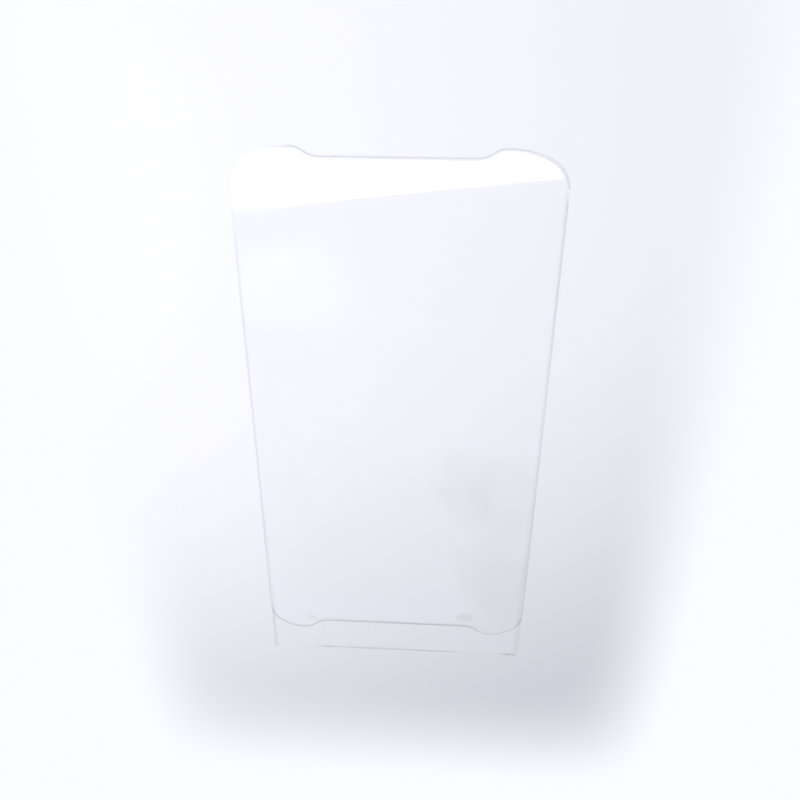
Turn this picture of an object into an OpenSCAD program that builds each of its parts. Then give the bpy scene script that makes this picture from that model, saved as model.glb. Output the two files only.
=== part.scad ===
// Screen protector for a phone.
// A pane of tempered glass with a rounded front edge lies on the clear release film that covers
// its adhesive side. The film is cut to the pane, and runs on past the bottom end as a pull tab.
// The front of the glass faces up (+Z), and the end for the earpiece points along +Y.
// The origin lies under the middle of the pane, on the plane that the film rests on.

/* [Pane] */
// Width of the glass
pane_w = 70; // [56:0.5:90]
// Length of the glass, from the crests at one end to the crests at the other
pane_l = 130.4; // [90:0.2:180]
// Thickness of the glass
pane_t = 0.4; // [0.25:0.01:1]
// Radius of the corners, where the crests beside them leave that much room
corner_r = 7; // [2:0.1:8.5]

/* [Rounded front edge] */
// How far the rounding runs in from the outline
edge_w = 0.9; // [0.3:0.05:1.4]
// Height of the upright wall that is left below the rounding
edge_land = 0.15; // [0.05:0.01:0.2]

/* [Top notch] */
// Width of the notch's straight floor
top_notch_w = 32; // [10:0.5:40]
// Depth of the notch below the crests beside it
top_notch_depth = 1.95; // [0.4:0.05:4]
// Width of the S-shaped blend from the floor to a crest
top_blend_w = 6.2; // [4:0.1:10]
// Angle that the crown turns through from the crest to the corner
top_crown_turn = 23.6; // [10:0.2:60]

/* [Bottom notch] */
// Width of the notch's straight floor
bottom_notch_w = 37.6; // [10:0.5:40]
// Depth of the notch below the crests beside it
bottom_notch_depth = 2.6; // [0.4:0.05:4]
// Width of the S-shaped blend from the floor to a crest
bottom_blend_w = 7.2; // [4:0.1:10]
// Angle that the crown turns through from the crest to the corner
bottom_crown_turn = 34.8; // [10:0.2:60]

/* [Release film] */
// Thickness of the film
film_t = 0.1; // [0.05:0.01:0.3]
// How far the film's cut edge stays inside the outline of the glass
film_inset = 0.2; // [0:0.05:0.5]
// Length of the pull tab, past the crests of the bottom end
tab_l = 7.7; // [2:0.1:20]

/* [Hidden] */

// Largest angle between neighbouring points of an arc in the outline
arc_step = 4;
// Number of strips in the rounding of the front edge
edge_steps = 6;
// Largest share of the room beside a crest that a corner's radius takes up
corner_share = 0.8;

// One end of the outline: half the floor's width, depth, blend width and crown turn
TOP_END = [top_notch_w / 2, top_notch_depth, top_blend_w, top_crown_turn];
BOTTOM_END = [bottom_notch_w / 2, bottom_notch_depth, bottom_blend_w, bottom_crown_turn];

// The rounding is one arc, level where it meets the flat front
edge_drop = pane_t - edge_land;
edge_r = (edge_w ^ 2 + edge_drop ^ 2) / (2 * edge_drop);
edge_turn = asin(edge_w / edge_r);
// How far the plate of the flat middle reaches into the ring that carries the rounding, and how
// far the ring reaches past the plate's outline
overlap = 0.2;
plate_inset = edge_w + overlap;
ring_w = plate_inset + overlap;

// Points along an arc, without its last one, which the next arc starts with
function arc(center, r, from, turn) =
    let (steps = ceil(abs(turn) / arc_step))
    [for (i = [0:steps - 1]) let (a = from + turn * i / steps) center + r * [cos(a), sin(a)]];

// Right half of an end, from the pane's side over the crest down to the notch's floor, all of it
// moved in by inset. Each arc is tangent to its neighbours: corner, crown, and the two arcs of
// the S-shaped blend.
function half_end(end, inset) =
    let (
        floor_x = end[0], depth = end[1], blend_w = end[2], crown_turn = end[3],
        crest = [floor_x + blend_w, pane_l / 2],
        blend_turn = 2 * atan(depth / blend_w),
        blend_r = blend_w / (2 * sin(blend_turn)),
        room = pane_w / 2 - crest.x,
        r = min(corner_r, corner_share * room),
        crown_r = r + (room - r) / sin(crown_turn),
        crown = crest - [0, crown_r],
        corner = crown + (crown_r - r) * [sin(crown_turn), cos(crown_turn)],
        notch_floor = [floor_x, pane_l / 2 - depth]
    )
    concat(
        arc(corner, r - inset, 0, 90 - crown_turn),
        arc(crown, crown_r - inset, 90 - crown_turn, crown_turn),
        arc(crest - [0, blend_r], blend_r - inset, 90, blend_turn),
        arc(notch_floor + [0, blend_r], blend_r + inset, blend_turn - 90, -blend_turn),
        [notch_floor - [0, inset]]
    );

// A whole end, counterclockwise from the right side to the left side
function whole_end(end, inset) =
    let (half = half_end(end, inset))
    concat(half, [for (i = [len(half) - 1:-1:0]) [-half[i].x, half[i].y]]);

// The pane's outline, moved in by inset; the bottom end is turned half round
function outline(inset) =
    concat(whole_end(TOP_END, inset), [for (p = whole_end(BOTTOM_END, inset)) -p]);

// Section of the ring that carries the rounded edge, as pairs of inset and height. It starts
// inside the pane on the underside, and goes round by the upright wall and over the rounding.
edge_section = concat(
    [[ring_w, 0], [0, 0]],
    [for (i = [edge_steps:-1:0])
        let (a = edge_turn * i / edge_steps)
        [edge_w - edge_r * sin(a), pane_t - edge_r * (1 - cos(a))]],
    [[ring_w, pane_t]]
);

// Solid ring that carries the closed edge section round the pane's outline
module edge_ring() {
    rings = [for (s = edge_section) [for (p = outline(s[0])) [p.x, p.y, s[1]]]];
    n = len(rings[0]);
    last = len(rings) - 1;
    polyhedron(
        points = [for (ring = rings) each ring],
        faces = [for (k = [0:last], i = [0:n - 1])
            let (up = k == last ? 0 : k + 1, next = (i + 1) % n)
            [k * n + i, up * n + i, up * n + next, k * n + next]]
    );
}

// The glass, with its adhesive side down on the film: the rounded edge and the flat middle
module glass_pane() {
    color([0.88, 0.91, 0.95, 0.6])
        translate([0, 0, film_t]) {
            edge_ring();
            linear_extrude(pane_t) polygon(outline(plate_inset));
        }
}

// The film follows the glass round the top end and down the sides, and ends in a square tab
module release_film() {
    side = pane_w / 2 - film_inset;
    tab_end = -pane_l / 2 - tab_l;
    color([0.80, 0.82, 0.88, 0.6])
        linear_extrude(film_t)
            polygon(concat(whole_end(TOP_END, film_inset), [[-side, tab_end], [side, tab_end]]));
}

glass_pane();
release_film();
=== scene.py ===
# %% [markdown]
# # A screen protector of tempered glass
# The real object is two clear sheets, one on the other. The upper sheet is a pane of glass, 0.4 mm
# thick, with a rounded front edge and a shallow notch at each end. The lower one is a thin film that
# covers the glue until the pane is used, and runs on past one end as a pull tab.
# A clear sheet has hardly any colour of its own. What shows it is what light does at its edges, the
# mirror image of a lamp on its front, and the marks of handling. So this lesson spends most of its
# cells on light, edges and finishes. It starts by loading the solids, which stay as they are.

# %% Load the solids
import math

import bpy
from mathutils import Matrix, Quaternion, Vector


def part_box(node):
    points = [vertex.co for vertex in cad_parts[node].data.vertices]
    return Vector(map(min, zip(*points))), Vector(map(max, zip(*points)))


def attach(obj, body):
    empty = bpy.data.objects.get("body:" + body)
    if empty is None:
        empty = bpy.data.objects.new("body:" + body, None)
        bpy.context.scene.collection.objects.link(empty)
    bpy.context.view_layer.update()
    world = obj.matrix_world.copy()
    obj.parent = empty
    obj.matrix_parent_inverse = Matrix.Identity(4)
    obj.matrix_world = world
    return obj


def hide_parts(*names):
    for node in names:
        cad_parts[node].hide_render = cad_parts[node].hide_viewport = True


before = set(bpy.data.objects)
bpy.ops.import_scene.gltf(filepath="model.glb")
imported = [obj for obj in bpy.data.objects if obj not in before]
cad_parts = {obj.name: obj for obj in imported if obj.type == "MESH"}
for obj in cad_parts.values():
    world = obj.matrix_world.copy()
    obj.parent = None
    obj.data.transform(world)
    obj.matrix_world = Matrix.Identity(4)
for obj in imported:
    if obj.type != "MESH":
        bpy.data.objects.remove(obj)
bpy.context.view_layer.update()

MM = 0.001
pane_low, pane_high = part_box("glass_pane")
film_low, film_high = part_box("release_film")
print("pane", [round((b - a) / MM, 2) for a, b in zip(pane_low, pane_high)], "mm")
print("film", [round((b - a) / MM, 2) for a, b in zip(film_low, film_high)], "mm")

# %% [markdown]
# ## The camera
# The photograph looks down on the sheet from beyond its upper end, with the camera held upside down,
# so that the near end is at the top of the picture. A camera that is aimed at a point comes out
# upright, and one turn about its own axis, the roll, then brings the picture the right way round.
# A wide lens close to the sheet gives the strong taper of its sides.

# %% Place the camera
CAMERA_AT = Vector((8.7, 88.1, 152.75)) * MM
AIMED_AT = Vector((0.8, 8.2, 0.3)) * MM
ROLL = math.radians(-173.26)
LENS = 32.92

bpy.ops.object.camera_add(location=CAMERA_AT)
camera = bpy.context.object
upright = (AIMED_AT - CAMERA_AT).to_track_quat("-Z", "Y")
camera.rotation_euler = (upright @ Quaternion((0, 0, 1), ROLL)).to_euler()
camera.data.lens = LENS
camera.data.sensor_width = 36
camera.data.clip_start = 0.001
bpy.context.scene.camera = camera
print("camera", round((CAMERA_AT - AIMED_AT).length / MM), "mm from the sheet")

# %% [markdown]
# ## The softbox
# The white band across the upper end of the glass is the mirror image of one large, even lamp. The
# band's lower border is the near edge of that lamp. A mirror shows what lies straight behind it for
# a camera mirrored in its plane, so a line from the mirrored camera through a point of the border
# meets the lamp's edge. Two such points give the edge, and the softbox is hung from it.

# %% Find the softbox's edge in the mirror
FRONT = pane_high.z
SOFTBOX_HEIGHT = 300 * MM
BORDER_LEFT = Vector((-34.8, 52.1, 0)) * MM
BORDER_RIGHT = Vector((34.4, 59.8, 0)) * MM


def seen_in_glass(point):
    """The place at the softbox's height that the camera sees mirrored at this point of the front."""
    mirrored = Vector((CAMERA_AT.x, CAMERA_AT.y, 2 * FRONT - CAMERA_AT.z))
    on_front = Vector((point.x, point.y, FRONT))
    reach = (SOFTBOX_HEIGHT - mirrored.z) / (FRONT - mirrored.z)
    return mirrored + (on_front - mirrored) * reach


edge_left, edge_right = seen_in_glass(BORDER_LEFT), seen_in_glass(BORDER_RIGHT)
print("softbox edge from", [round(v / MM) for v in edge_left], "to", [round(v / MM) for v in edge_right])

# %% Hang the softbox from that edge
SOFTBOX_SIZE = Vector((460, 150)) * MM
PAST_RIGHT = 8 * MM
SOFTBOX_RADIANCE = 3.4


def add_panel(name, at, turn, size, radiance):
    """A flat lamp that shines with this radiance and is seen only in mirrors."""
    bpy.ops.object.light_add(type="AREA", location=at, rotation=turn)
    panel = bpy.context.object
    panel.name = name
    panel.data.shape = "RECTANGLE"
    panel.data.size, panel.data.size_y = size
    panel.data.energy = radiance * math.pi * size.x * size.y
    panel.visible_camera = False
    print(name, "at", [round(v / MM) for v in at], "mm,", round(panel.data.energy, 3), "W")
    return panel


along = (edge_right - edge_left).normalized()
away = Vector((-along.y, along.x, 0))
softbox_at = edge_right + along * (PAST_RIGHT - SOFTBOX_SIZE.x / 2) + away * SOFTBOX_SIZE.y / 2
add_panel("softbox", softbox_at, (0, 0, math.atan2(along.y, along.x)), SOFTBOX_SIZE, SOFTBOX_RADIANCE)

# %% [markdown]
# Round the top-left corner the dark line of the rim goes missing, because a bright thing stands
# there whose mirror image fills the rounding. A second panel beside the softbox does that. It isn't
# meant to light the paper, so it is hidden from matt surfaces.

# %% Hang a panel for the top-left corner
CORNER_PANEL_AT = Vector((-305, 292, 300)) * MM
CORNER_PANEL_SIZE = Vector((350, 255)) * MM

corner_panel = add_panel("corner_panel", CORNER_PANEL_AT, (0, 0, 0), CORNER_PANEL_SIZE, SOFTBOX_RADIANCE)
corner_panel.visible_diffuse = False

# %% [markdown]
# ## A strip light beyond the tab
# A thin bright line runs along the inside of the bottom notch. There the front just begins to round
# off, and so it mirrors something low and bright beyond the tab. A long strip light stands for it,
# and it is hidden from matt surfaces too.

# %% Stand a strip light there
STRIP_AT = Vector((-40, -500, 330)) * MM
STRIP_SIZE = Vector((400, 70)) * MM
STRIP_RADIANCE = 4.0

strip = add_panel("strip_light", STRIP_AT, (-STRIP_AT).to_track_quat("-Z", "Y").to_euler(),
                  STRIP_SIZE, STRIP_RADIANCE)
strip.visible_diffuse = False

# %% [markdown]
# ## The room
# The rest of the light comes evenly from a pale room. The world has two strengths: one that lights
# the scene, and one that is seen, straight on or mirrored in the glass.

# %% A helper that tells which rays see
def seen_ray(nodes, links):
    """Adds nodes that give 1 for a ray that looks or mirrors or goes through glass, and else 0."""
    path = nodes.new("ShaderNodeLightPath")
    straight = nodes.new("ShaderNodeMath")
    straight.operation = "MAXIMUM"
    any_way = nodes.new("ShaderNodeMath")
    any_way.operation = "MAXIMUM"
    links.new(path.outputs["Is Camera Ray"], straight.inputs[0])
    links.new(path.outputs["Is Glossy Ray"], straight.inputs[1])
    links.new(straight.outputs[0], any_way.inputs[0])
    links.new(path.outputs["Is Transmission Ray"], any_way.inputs[1])
    return any_way.outputs[0]


# %% Light the room
ROOM_COLOR = (0.965, 0.98, 1.03)
ROOM_LIGHT = 0.49
ROOM_SEEN = 1.0

world = bpy.data.worlds.new("pale_room")
bpy.context.scene.world = world
world.use_nodes = True
nodes, links = world.node_tree.nodes, world.node_tree.links
nodes.clear()
strength = nodes.new("ShaderNodeMapRange")
strength.inputs["To Min"].default_value = ROOM_LIGHT
strength.inputs["To Max"].default_value = ROOM_SEEN
background = nodes.new("ShaderNodeBackground")
background.inputs["Color"].default_value = (*ROOM_COLOR, 1)
output = nodes.new("ShaderNodeOutputWorld")
links.new(seen_ray(nodes, links), strength.inputs["Value"])
links.new(strength.outputs["Result"], background.inputs["Strength"])
links.new(background.outputs[0], output.inputs["Surface"])
print("room light", ROOM_LIGHT, "seen as", ROOM_SEEN)

# %% [markdown]
# ## The paper
# The sheet lies on pale paper. One large plane does for it. It lies a hair below the film, because
# two faces in one plane flicker where a ray can't tell which comes first.

# %% Lay the paper
PAPER_GAP = 0.02 * MM
PAPER_SIZE = 3000 * MM

bpy.ops.mesh.primitive_plane_add(size=PAPER_SIZE, location=(0, 0, -PAPER_GAP))
paper = bpy.context.object
paper.name = "paper"
bpy.ops.object.transform_apply(location=True)
print("paper", round(PAPER_SIZE / MM), "mm wide")


# %% A helper for new materials
def new_material(name):
    """An empty node material, with its nodes, its links and its output."""
    material = bpy.data.materials.new(name)
    material.use_nodes = True
    material.node_tree.nodes.clear()
    output = material.node_tree.nodes.new("ShaderNodeOutputMaterial")
    return material, material.node_tree.nodes, material.node_tree.links, output


# %% [markdown]
# The paper's colour is painted darker towards the corner that is farthest from the lamp: a painted shade
# for the lamp's light falling off. A Mapping node turns the place on the paper, so that x runs along the
# fade, and a smooth step over x mixes the two colours.

# %% The paper's painted shade
PAPER_BRIGHT = (0.966, 0.961, 1.0)
PAPER_PAINTED_SHADE = (0.768, 0.768, 0.825)
PAPER_ROUGHNESS = 0.9
FADE_AXIS_TURN = math.radians(-62)
FADE_FROM, FADE_TO = -24 * MM, 130 * MM

paper_finish, nodes, links, output = new_material("pale_paper")
place = nodes.new("ShaderNodeTexCoord")
turned = nodes.new("ShaderNodeMapping")
turned.inputs["Rotation"].default_value[2] = -FADE_AXIS_TURN
apart = nodes.new("ShaderNodeSeparateXYZ")
fade = nodes.new("ShaderNodeMapRange")
fade.interpolation_type = "SMOOTHSTEP"
fade.inputs["From Min"].default_value = FADE_FROM
fade.inputs["From Max"].default_value = FADE_TO
# The painted shade: the paper's colour mixed darker along the fade
painted_falloff = nodes.new("ShaderNodeMix")
painted_falloff.data_type = "RGBA"
painted_falloff.inputs["A"].default_value = (*PAPER_BRIGHT, 1)
painted_falloff.inputs["B"].default_value = (*PAPER_PAINTED_SHADE, 1)
surface = nodes.new("ShaderNodeBsdfPrincipled")
surface.inputs["Roughness"].default_value = PAPER_ROUGHNESS
surface.inputs["Specular IOR Level"].default_value = 0.0
links.new(place.outputs["Object"], turned.inputs["Vector"])
links.new(turned.outputs["Vector"], apart.inputs["Vector"])
links.new(apart.outputs["X"], fade.inputs["Value"])
links.new(fade.outputs["Result"], painted_falloff.inputs["Factor"])
links.new(painted_falloff.outputs["Result"], surface.inputs["Base Color"])
print("paper fades from", round(FADE_FROM / MM), "to", round(FADE_TO / MM), "mm")

# %% [markdown]
# Round the sheet, past the border of a rounded oblong, the paper takes on the room's colour, so that
# no dark horizon shows behind the object. Such an oblong is where the eighth powers of x and y, once
# x is stretched, add up to the same sum. The eighth root of that sum is its size. Only rays that see
# get that colour, and the light that the paper sends back to the sheet stays as it was.

# %% The paper's border
OBLONG_STRETCH = 1.6
OBLONG_POWER = 8
ROOM_FROM, ROOM_TO = 86 * MM, 132 * MM

stretched = nodes.new("ShaderNodeVectorMath")
stretched.operation = "MULTIPLY"
stretched.inputs[1].default_value = (OBLONG_STRETCH, 1, 0)
squared = nodes.new("ShaderNodeVectorMath")
squared.operation = "MULTIPLY"
fourth = nodes.new("ShaderNodeVectorMath")
fourth.operation = "MULTIPLY"
eighth = nodes.new("ShaderNodeVectorMath")
eighth.operation = "DOT_PRODUCT"
oblong = nodes.new("ShaderNodeMath")
oblong.operation = "POWER"
oblong.inputs[1].default_value = 1 / OBLONG_POWER
far = nodes.new("ShaderNodeMapRange")
far.interpolation_type = "SMOOTHSTEP"
far.inputs["From Min"].default_value = ROOM_FROM
far.inputs["From Max"].default_value = ROOM_TO
far_seen = nodes.new("ShaderNodeMath")
far_seen.operation = "MULTIPLY"
glow = nodes.new("ShaderNodeEmission")
glow.inputs["Color"].default_value = (*ROOM_COLOR, 1)
glow.inputs["Strength"].default_value = ROOM_SEEN
mixed = nodes.new("ShaderNodeMixShader")
links.new(place.outputs["Object"], stretched.inputs[0])
for power, root in ((squared, stretched), (fourth, squared), (eighth, fourth)):
    links.new(root.outputs["Vector"], power.inputs[0])
    links.new(root.outputs["Vector"], power.inputs[1])
links.new(eighth.outputs["Value"], oblong.inputs[0])
links.new(oblong.outputs[0], far.inputs["Value"])
links.new(far.outputs["Result"], far_seen.inputs[0])
links.new(seen_ray(nodes, links), far_seen.inputs[1])
links.new(far_seen.outputs[0], mixed.inputs["Fac"])
links.new(surface.outputs[0], mixed.inputs[1])
links.new(glow.outputs[0], mixed.inputs[2])
links.new(mixed.outputs[0], output.inputs["Surface"])
paper.data.materials.append(paper_finish)
print("paper finish", len(nodes), "nodes")

# %% [markdown]
# ## Clean copies of the solids
# The solids come as loose triangles. A copy whose doubles are merged and whose flat triangles are
# dissolved has one face for each face of the real sheet. That is the mesh a modeller would want to
# start from, and it can be smoothed. The solids themselves are left alone. Bisect then cuts faces
# where points are needed, and it cuts only the faces that are selected.

# %% A helper that makes a clean copy
MERGE_BELOW = 0.001 * MM
FLAT_BELOW = math.radians(0.5)


def only(piece):
    """Selects this piece and nothing else."""
    bpy.ops.object.select_all(action="DESELECT")
    piece.select_set(True)
    bpy.context.view_layer.objects.active = piece


def clean_copy(node, name):
    """A new piece with the node's mesh, merged and without its triangulation."""
    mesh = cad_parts[node].data.copy()
    mesh.name = name
    piece = bpy.data.objects.new(name, mesh)
    bpy.context.scene.collection.objects.link(piece)
    only(piece)
    bpy.ops.mesh.customdata_custom_splitnormals_clear()
    bpy.ops.object.mode_set(mode="EDIT")
    bpy.ops.mesh.select_all(action="SELECT")
    bpy.ops.mesh.remove_doubles(threshold=MERGE_BELOW)
    bpy.ops.mesh.dissolve_limited(angle_limit=FLAT_BELOW)
    bpy.ops.object.mode_set(mode="OBJECT")
    mesh.materials.clear()
    print(name, len(mesh.vertices), "points,", len(mesh.polygons), "faces")
    return piece


# %% Helpers that pick faces and cut them
def pick(piece, chosen):
    """Opens the piece in edit mode with only the faces selected for which chosen(face) is true."""
    only(piece)
    bpy.ops.object.mode_set(mode="EDIT")
    bpy.ops.mesh.select_mode(type="FACE")
    bpy.ops.mesh.select_all(action="DESELECT")
    bpy.ops.object.mode_set(mode="OBJECT")
    for face in piece.data.polygons:
        face.select = chosen(face)
    bpy.ops.object.mode_set(mode="EDIT")


def cut(piece, at, normal, chosen):
    """Bisects the chosen faces by the plane through at."""
    pick(piece, chosen)
    bpy.ops.mesh.bisect(plane_co=at, plane_no=normal)
    bpy.ops.object.mode_set(mode="OBJECT")


# %% [markdown]
# ## The glass
# The pane is cut from thin glass, and its front edge is ground round and polished. The copy already
# has that form. Two things are added. An inset on the underside gives the glass near the rim its own
# ring of faces, so that a value painted on the rim's points fades out before the middle. And a few
# cuts across the long sides give them points of their own, so that the value can change along them.
# The flat faces are known by their level normal and by their many points, and the narrow strips of
# the rounding by their few.

# %% Copy the pane, inset its underside and cut its sides
RIM_WIDTH = 0.9 * MM
SIDE_CUTS = [y * MM for y in (50, 42, 34, 26, 10, -10, -34, -54)]
LEVEL = 0.9999
FEW_POINTS = 8

glass = clean_copy("glass_pane", "glass_sheet")
pick(glass, lambda face: face.normal.z < -LEVEL)
bpy.ops.mesh.inset(thickness=RIM_WIDTH, depth=0)
bpy.ops.object.mode_set(mode="OBJECT")
for y in SIDE_CUTS:
    cut(glass, (0, y, 0), (0, 1, 0), lambda face: len(face.vertices) <= FEW_POINTS)
print("glass", len(glass.data.vertices), "points,", len(glass.data.polygons), "faces")

# %% [markdown]
# The dark line along the rim is mostly painted shade, with a little grey of the ground edge's own: the
# rounding bends the light away, and the line is darkest at the rim's foot. It isn't equally dark all
# round: the painted shade is strongest in the bottom notch and the bottom corners, weaker on the bottom
# crests, and fainter on the sides and at the top, and round the top-left corner, where the lamp's mirror
# image fills the rounding, it is taken out. One value on the rim's points, from 0 for none to 1 for
# darkest, carries all that into the glass's colour and into the shadow that the rim casts.

# %% Helpers for smooth changes
def rise(value, start, end):
    """0 up to start, 1 from end on, and a smooth rise between them."""
    share = min(max((value - start) / (end - start), 0), 1)
    return share * share * (3 - 2 * share)


def blend(a, b, share):
    """The value at this share of the way from a to b."""
    return a + (b - a) * share


# %% How strong the rim's painted shade is, place by place
# Shares of the darkest, in the notch, at the top end, on the crests and at the bottom corners
NOTCH_SHARE, TOP_SHARE = 1.0, 0.07
LEFT_CREST_SHARE, RIGHT_CREST_SHARE = 0.76, 0.6
CORNER_SHARE = 1.1
# Shares on the lower and on the upper part of each side, and what is lost just above the corners
LEFT_SHARES, RIGHT_SHARES = (0.17, 0.29), (0.24, 0.42)
LOW_FALL = 0.6
# Where each change starts and ends: along x for the notch and for the top, where the lamp's mirror image
# takes the painted shade out, along y for the sides, and for the corners by how far the rim has turned
# from the side to the end
NOTCH_END = (18 * MM, 26 * MM)
LAMP_FILLED_TOP = (24 * MM, 28 * MM)
LEFT_CHANGE, RIGHT_CHANGE = (0 * MM, 22 * MM), (10 * MM, 40 * MM)
LOW_SIDE = (34 * MM, 54 * MM)
LAMP_FILLED_SIDE = (28 * MM, 62 * MM)
CORNER_START = (0.1, 0.4)


def rim_shade_share(at, out):
    """How strong the rim's painted shade is at a point that faces outwards along out, from 0 to 1."""
    crest = RIGHT_CREST_SHARE if at.x > 0 else LEFT_CREST_SHARE
    bottom = blend(NOTCH_SHARE, crest, rise(abs(at.x), *NOTCH_END))
    end = TOP_SHARE if at.y > 0 else bottom
    left = blend(*LEFT_SHARES, rise(at.y, *LEFT_CHANGE))
    right = blend(*RIGHT_SHARES, rise(at.y, *RIGHT_CHANGE))
    side = (right if at.x > 0 else left) * (1 - LOW_FALL * rise(-at.y, *LOW_SIDE))
    turned = abs(out.y) / max(out.length, 1e-6)
    corner = CORNER_SHARE * rise(turned, *CORNER_START) * (1 - turned) if at.y < 0 else 0
    # The painted shade is taken out round the top-left corner, where the lamp's mirror image fills the
    # rounding
    clear = rise(-at.x, *LAMP_FILLED_TOP) * rise(at.y, *LAMP_FILLED_SIDE)
    return blend(blend(side, end, turned), 1, corner) * (1 - clear)


# %% Paint the rim's shade on the points
RIM_FALL = 0.8
HAIR = 0.01 * MM

flat_points = set()
for face in glass.data.polygons:
    if abs(face.normal.z) > LEVEL and len(face.vertices) > FEW_POINTS:
        flat_points.update(face.vertices)
wall_top = min(v.co.z for v in glass.data.vertices if v.co.z > pane_low.z + HAIR)
rim = glass.data.attributes.new("rim", "FLOAT", "POINT")
for point in glass.data.vertices:
    drop = min(max((pane_high.z - point.co.z) / (pane_high.z - wall_top), 0), 1)
    value = drop ** RIM_FALL * rim_shade_share(point.co, point.normal.xy)
    rim.data[point.index].value = 0 if point.index in flat_points else value
print("flat points", len(flat_points), "of", len(glass.data.vertices))

# %% [markdown]
# The strips of the rounding are shaded smooth, with weighted normals, so that the wide flat front
# keeps its own direction and mirrors straight lines as straight lines.

# %% Smooth the rounding
SMOOTH_BELOW = math.radians(30)

only(glass)
bpy.ops.object.shade_smooth_by_angle(angle=SMOOTH_BELOW)
bpy.ops.object.modifier_add(type="WEIGHTED_NORMAL")
glass.modifiers[-1].keep_sharp = True
bpy.ops.object.modifier_apply(modifier=glass.modifiers[-1].name)
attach(glass, "root")
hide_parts("glass_pane")
print("glass rides on root")

# %% [markdown]
# ## The release film
# The film is a clear plastic sheet, cut to the glass round three sides. Its tab has been lifted by
# a finger, so its corners stand a few tenths of a millimetre clear of the paper. The tab is cut into
# a grid with bisect, and each row of points is then raised by a smooth formula. Under the glass the
# film's upper side is set a hair lower, so that the two sheets share no face.

# %% Copy the film and cut a grid into its tab
TAB_FROM = -65.6 * MM
TAB_ROWS, TAB_COLUMNS = 8, 24
END_WIDTH, LEFT_WIDTH, RIGHT_WIDTH = 0.8 * MM, 1.2 * MM, 2.4 * MM

film = clean_copy("release_film", "release_film_sheet")
cut(film, (0, TAB_FROM, 0), (0, 1, 0), lambda face: True)
rows = [blend(TAB_FROM, film_low.y, i / TAB_ROWS) for i in range(1, TAB_ROWS)]
for row in (*rows, film_low.y + END_WIDTH):
    cut(film, (0, row, 0), (0, 1, 0), lambda face: face.center.y < TAB_FROM)
columns = [blend(film_low.x, film_high.x, i / TAB_COLUMNS) for i in range(1, TAB_COLUMNS)]
for column in (*columns, film_low.x + LEFT_WIDTH, film_high.x - RIGHT_WIDTH):
    cut(film, (column, 0, 0), (1, 0, 0), lambda face: face.center.y < TAB_FROM)
print("film", len(film.data.vertices), "points,", len(film.data.polygons), "faces")

# %% [markdown]
# The tab's cut edges show as thin dark lines, stronger on some stretches than on others: painted shadow of
# the lifted edges on the paper, over a little grey of the cut edge itself. It is what shows the film's end
# on the paper at all. It is painted on the edge's points too, and fades out inwards to the next row of
# points.

# %% Paint the shadow and grey on the tab's edges
# Each stretch of the end runs from one x to the next, in millimetres, and has its share of painted shadow
# and grey on the edge and on the next row of points
END_GREY_AND_SHADOW = [
    (-35, -22.5, 0.15, 0),
    (-22.5, 16, 1.0, 0),
    (16, 29.5, 0.15, 0),
    (29.5, 34.4, 1.0, 0.85),
    (34.4, 36, 0.4, 0),
]
LEFT_GREY_AND_SHADOW, RIGHT_GREY_AND_SHADOW = 0.54, 0.43
ON_EDGE = 0.1 * MM

# The painted shadow and grey of the tab's edges, one value on each point
grey_and_shadow = film.data.attributes.new("edge_grey_and_shadow", "FLOAT", "POINT")
for point in film.data.vertices:
    at = point.co
    value = 0
    if at.y < TAB_FROM and at.x < film_low.x + ON_EDGE:
        value = LEFT_GREY_AND_SHADOW
    if at.y < TAB_FROM and at.x > film_high.x - ON_EDGE:
        value = RIGHT_GREY_AND_SHADOW
    for start, end, on_edge, next_row in END_GREY_AND_SHADOW:
        if start <= at.x / MM < end and at.y < film_low.y + END_WIDTH + ON_EDGE:
            value = max(value, on_edge if at.y < film_low.y + ON_EDGE else next_row)
    grey_and_shadow.data[point.index].value = value
print("dust on", sum(v.value > 0 for v in grey_and_shadow.data), "points")

# %% Raise the corners of the tab
FILM_TOP = 0.085 * MM
LIFT_MIDDLE, LIFT_LEFT, LIFT_RIGHT = 0.03 * MM, 0.16 * MM, 0.34 * MM
CURL_ACROSS, CURL_ALONG = 4, 1.6

film_middle = (film_low.z + film_high.z) / 2
for point in film.data.vertices:
    if point.co.z > film_middle:
        point.co.z = FILM_TOP
    out = max(TAB_FROM - point.co.y, 0) / (TAB_FROM - film_low.y)
    side = point.co.x / film_high.x
    lift = LIFT_MIDDLE + (LIFT_RIGHT if side > 0 else LIFT_LEFT) * abs(side) ** CURL_ACROSS
    point.co.z += lift * out ** CURL_ALONG
only(film)
bpy.ops.object.shade_smooth_by_angle(angle=SMOOTH_BELOW)
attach(film, "root")
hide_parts("release_film")
print("tab rises to", round(max(v.co.z for v in film.data.vertices) / MM, 3), "mm")

# %% [markdown]
# ## Marks of handling
# Glass that has been held is never quite clean. A thin haze of grease from fingers scatters the lamp's
# light close to its mirror image. Both sheets are also darker in soft patches, in the lower half and
# mostly on the right. Both sheets have such marks, so they are made once, as a node group that each finish
# places with its own values. A mark is a soft ellipse: the distance from its middle, measured in half its
# size, goes through a smooth step. Noise is first added to the place, which makes the outline of each mark
# ragged. Two small dark spots lie beside the bottom notch. Their outline is clean, so they keep the plain
# place.

# %% Where the marks are
# Each mark has its middle and half its size in millimetres, up to what share of its size it is full,
# and its strength
# Soft darker patches in the lower half, mostly on the right
DARK_PATCHES = [
    ((17.3, -16.5), (11, 15), 0.35, 0.5),
    ((28, -20), (12, 16), 0.3, 0.45),
    ((29, -48), (17, 30), 0.2, 0.65),
    ((-3, -34), (38, 30), 0.5, 0.13),
]
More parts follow.
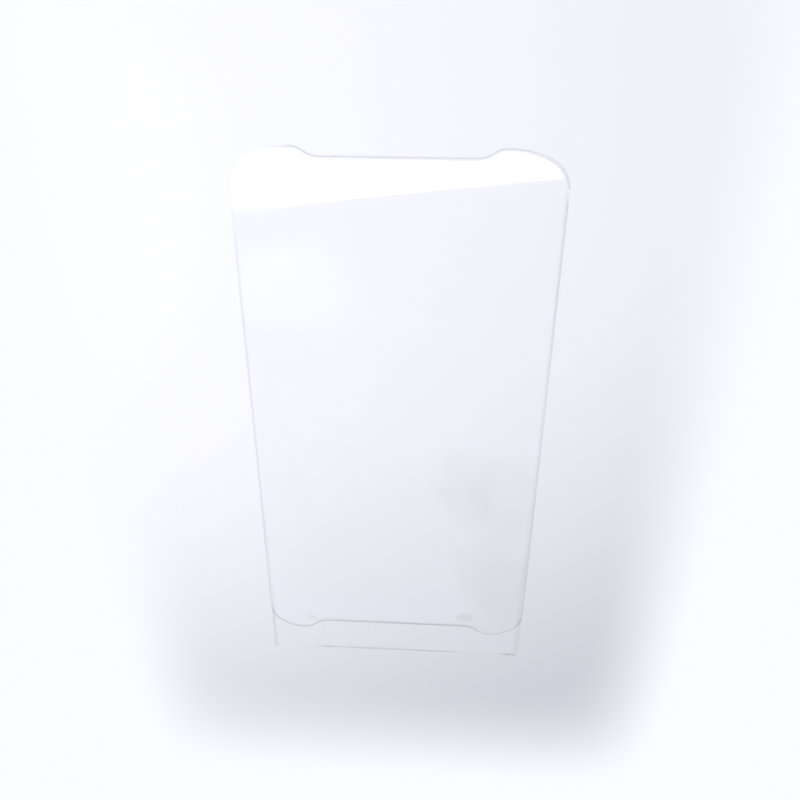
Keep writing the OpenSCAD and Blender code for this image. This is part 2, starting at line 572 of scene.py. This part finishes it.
# Two small soft dark spots beside the bottom notch
DARK_SPOTS = [
    ((19.2, -59.4), (2.7, 1.9), 0.6, 0.7),
    ((-23.7, -61.4), (1.9, 1.4), 0.4, 0.5),
]
HAZE = [
    ((-24, 36), (20, 14), 0.5, 0.13),
    ((-12, 26), (18, 13), 0.2, 0.06),
    ((-17, 8), (12, 8), 0.3, 0.14),
    ((-28, -22), (9, 14), 0.3, 0.12),
]
print(len(DARK_PATCHES), "of grease,", len(DARK_SPOTS), "of air,", len(HAZE), "of haze")

# %% Start the group of handling marks
marks = bpy.data.node_groups.new("handling_marks", "ShaderNodeTree")
for name, way, kind in (
    ("Vector", "INPUT", "NodeSocketVector"),
    ("Raggedness", "INPUT", "NodeSocketFloat"),
    ("Darker", "OUTPUT", "NodeSocketFloat"),
    ("Haze", "OUTPUT", "NodeSocketFloat"),
    ("Waves", "OUTPUT", "NodeSocketFloat"),
):
    marks.interface.new_socket(name, in_out=way, socket_type=kind)
nodes, links = marks.nodes, marks.links
given = nodes.new("NodeGroupInput")
result = nodes.new("NodeGroupOutput")
print("handling marks give", [item.name for item in marks.interface.items_tree if item.in_out == "OUTPUT"])

# %% Make the place ragged
# Noise scales are in noise cells to a metre
RAGGED_SCALE, RAGGED_DETAIL = 70.0, 4.0
NOISE_MIDDLE = (0.5, 0.5, 0.5)

ragged = nodes.new("ShaderNodeTexNoise")
ragged.inputs["Scale"].default_value = RAGGED_SCALE
ragged.inputs["Detail"].default_value = RAGGED_DETAIL
centred = nodes.new("ShaderNodeVectorMath")
centred.operation = "SUBTRACT"
centred.inputs[1].default_value = NOISE_MIDDLE
shifted = nodes.new("ShaderNodeVectorMath")
shifted.operation = "MULTIPLY_ADD"
links.new(given.outputs["Vector"], ragged.inputs["Vector"])
links.new(ragged.outputs["Color"], centred.inputs[0])
links.new(centred.outputs["Vector"], shifted.inputs[0])
links.new(given.outputs["Raggedness"], shifted.inputs[1])
links.new(given.outputs["Vector"], shifted.inputs[2])
print("noise of", round(1 / RAGGED_SCALE / MM), "mm makes the outlines ragged")


# %% A helper that adds soft ellipses
def add_marks(spots, place, total=None):
    """Nodes for soft ellipses at these places, added to the total. Returns the socket of the sum."""
    for middle, half_size, full_to, amount in spots:
        moved = nodes.new("ShaderNodeVectorMath")
        moved.operation = "SUBTRACT"
        moved.inputs[1].default_value = (middle[0] * MM, middle[1] * MM, 0)
        scaled = nodes.new("ShaderNodeVectorMath")
        scaled.operation = "DIVIDE"
        scaled.inputs[1].default_value = (half_size[0] * MM, half_size[1] * MM, 1)
        away_from = nodes.new("ShaderNodeVectorMath")
        away_from.operation = "LENGTH"
        step = nodes.new("ShaderNodeMapRange")
        step.interpolation_type = "SMOOTHSTEP"
        step.inputs["From Min"].default_value = full_to
        step.inputs["From Max"].default_value = 1.0
        step.inputs["To Min"].default_value = amount
        step.inputs["To Max"].default_value = 0.0
        links.new(place, moved.inputs[0])
        links.new(moved.outputs["Vector"], scaled.inputs[0])
        links.new(scaled.outputs["Vector"], away_from.inputs[0])
        links.new(away_from.outputs["Value"], step.inputs["Value"])
        if total is None:
            total = step.outputs["Result"]
            continue
        both = nodes.new("ShaderNodeMath")
        both.operation = "ADD"
        both.use_clamp = True
        links.new(total, both.inputs[0])
        links.new(step.outputs["Result"], both.inputs[1])
        total = both.outputs[0]
    return total


# %% Put the marks and the waves in the group
WAVE_SCALE, WAVE_DETAIL = 26.0, 1.0

waves = nodes.new("ShaderNodeTexNoise")
waves.inputs["Scale"].default_value = WAVE_SCALE
waves.inputs["Detail"].default_value = WAVE_DETAIL
links.new(given.outputs["Vector"], waves.inputs["Vector"])
patchy = add_marks(DARK_PATCHES, shifted.outputs["Vector"])
links.new(add_marks(DARK_SPOTS, given.outputs["Vector"], patchy), result.inputs["Darker"])
links.new(add_marks(HAZE, shifted.outputs["Vector"]), result.inputs["Haze"])
links.new(waves.outputs["Fac"], result.inputs["Waves"])
print("handling marks", len(nodes), "nodes")

# %% [markdown]
# ## Clear finishes
# Both sheets are clear, so both get a glass shader that bends and mirrors what is behind and above.
# Light from a lamp can't find its way through bent glass in a path tracer without a lot of noise. So
# for rays from the lamps, and for rays that left the paper, each sheet is plainly see-through.
# The marks go on both in the same way, with one helper. The darker patches change the colour that light
# takes on inside the sheet. The haze is a rough coat on top of it, which scatters a little of the lamp's
# light and leaves the sheet behind it clear. Very low waves in the surface keep the mirror image alive.

# %% A helper for clear sheets
def clear_sheet(name, ior, shadow_color):
    """A glass material that lets lamp light through. Returns it with its nodes, links and shader."""
    material, nodes, links, output = new_material(name)
    shader = nodes.new("ShaderNodeBsdfPrincipled")
    shader.inputs["Transmission Weight"].default_value = 1.0
    shader.inputs["IOR"].default_value = ior
    through = nodes.new("ShaderNodeBsdfTransparent")
    through.inputs["Color"].default_value = (*shadow_color, 1)
    path = nodes.new("ShaderNodeLightPath")
    lit = nodes.new("ShaderNodeMath")
    lit.operation = "MAXIMUM"
    mixed = nodes.new("ShaderNodeMixShader")
    links.new(path.outputs["Is Shadow Ray"], lit.inputs[0])
    links.new(path.outputs["Is Diffuse Ray"], lit.inputs[1])
    links.new(lit.outputs[0], mixed.inputs["Fac"])
    links.new(shader.outputs[0], mixed.inputs[1])
    links.new(through.outputs[0], mixed.inputs[2])
    links.new(mixed.outputs[0], output.inputs["Surface"])
    return material, nodes, links, shader, through


# %% A helper that mixes colours
def color_mix(nodes, links, share, a, b):
    """Mixes two colours, or a colour's socket and a colour. Returns the socket of the result."""
    mix = nodes.new("ShaderNodeMix")
    mix.data_type = "RGBA"
    links.new(share, mix.inputs["Factor"])
    if isinstance(a, bpy.types.NodeSocket):
        links.new(a, mix.inputs["A"])
    else:
        mix.inputs["A"].default_value = (*a, 1)
    mix.inputs["B"].default_value = (*b, 1)
    return mix.outputs["Result"]


# %% A helper that puts the marks on a clear sheet
HAZE_COAT_ROUGHNESS = 0.35
HAZE_COAT_IOR = 1.7


def soil(nodes, links, shader, clean_color, patch_color, clean_roughness, haze_roughness,
         raggedness, wave_height):
    """Puts the handling marks on a clear sheet. Returns the socket of the colour with its darker patches.
    """
    place = nodes.new("ShaderNodeTexCoord")
    handled = nodes.new("ShaderNodeGroup")
    handled.node_tree = marks
    handled.inputs["Raggedness"].default_value = raggedness
    rough = nodes.new("ShaderNodeMapRange")
    rough.inputs["To Min"].default_value = clean_roughness
    rough.inputs["To Max"].default_value = haze_roughness
    shader.inputs["Coat Roughness"].default_value = HAZE_COAT_ROUGHNESS
    shader.inputs["Coat IOR"].default_value = HAZE_COAT_IOR
    bump = nodes.new("ShaderNodeBump")
    bump.inputs["Distance"].default_value = wave_height
    links.new(place.outputs["Object"], handled.inputs["Vector"])
    links.new(handled.outputs["Haze"], rough.inputs["Value"])
    links.new(rough.outputs["Result"], shader.inputs["Roughness"])
    links.new(handled.outputs["Haze"], shader.inputs["Coat Weight"])
    links.new(handled.outputs["Waves"], bump.inputs["Height"])
    links.new(bump.outputs["Normal"], shader.inputs["Normal"])
    return color_mix(nodes, links, handled.outputs["Darker"], clean_color, patch_color)


# %% The glass
GLASS_IOR = 1.5
GLASS_COLOR = (0.992, 0.994, 1.0)
# The colour of the glass where it is darker in soft patches
PATCH_COLOR = (0.925, 0.93, 0.92)
# The rim's darkest colour and the darkest shadow it lets through: painted shade, with a little grey of the
# ground edge
RIM_SHADE_AND_GREY = (0.65, 0.655, 0.665)
RIM_SHADOW = (0.755, 0.757, 0.765)
GLASS_SHADOW = (0.998, 0.998, 1.0)

glass_finish, nodes, links, shader, through = clear_sheet("polished_glass", GLASS_IOR, GLASS_SHADOW)
patched = soil(nodes, links, shader, GLASS_COLOR, PATCH_COLOR, clean_roughness=0.02,
              haze_roughness=0.1, raggedness=18 * MM, wave_height=0.008 * MM)
# The rim value paints the shade into the glass's colour and into the shadow the rim casts
rim_value = nodes.new("ShaderNodeAttribute")
rim_value.attribute_name = "rim"
rim_tint = color_mix(nodes, links, rim_value.outputs["Fac"], patched, RIM_SHADE_AND_GREY)
rim_shade = color_mix(nodes, links, rim_value.outputs["Fac"], GLASS_SHADOW, RIM_SHADOW)
links.new(rim_tint, shader.inputs["Base Color"])
links.new(rim_shade, through.inputs["Color"])
glass.data.materials.append(glass_finish)
print("glass finish", len(nodes), "nodes")

# %% The film
FILM_IOR = 1.5
FILM_COLOR = (0.985, 0.986, 0.988)
FILM_PATCH_COLOR = (0.965, 0.968, 0.968)
FILM_SHADOW = (0.992, 0.993, 0.995)
# The darkest colour of the tab's edges: painted shadow of the lifted edges, over the cut edge's own grey
EDGE_GREY_AND_SHADOW = (0.72, 0.73, 0.73)

film_finish, nodes, links, shader, through = clear_sheet("clear_plastic", FILM_IOR, FILM_SHADOW)
patched = soil(nodes, links, shader, FILM_COLOR, FILM_PATCH_COLOR, clean_roughness=0.035,
              haze_roughness=0.06, raggedness=12 * MM, wave_height=0.02 * MM)
# The edge value paints the shadow and grey into the film's colour
grey_and_shadow_value = nodes.new("ShaderNodeAttribute")
grey_and_shadow_value.attribute_name = "edge_grey_and_shadow"
links.new(color_mix(nodes, links, grey_and_shadow_value.outputs["Fac"], patched, EDGE_GREY_AND_SHADOW),
          shader.inputs["Base Color"])
film.data.materials.append(film_finish)
print("film finish", len(nodes), "nodes")

# %% [markdown]
# ## Finish
# The colours are shown as they are.

# %% Show the colours as they are
bpy.context.scene.view_settings.view_transform = "Standard"
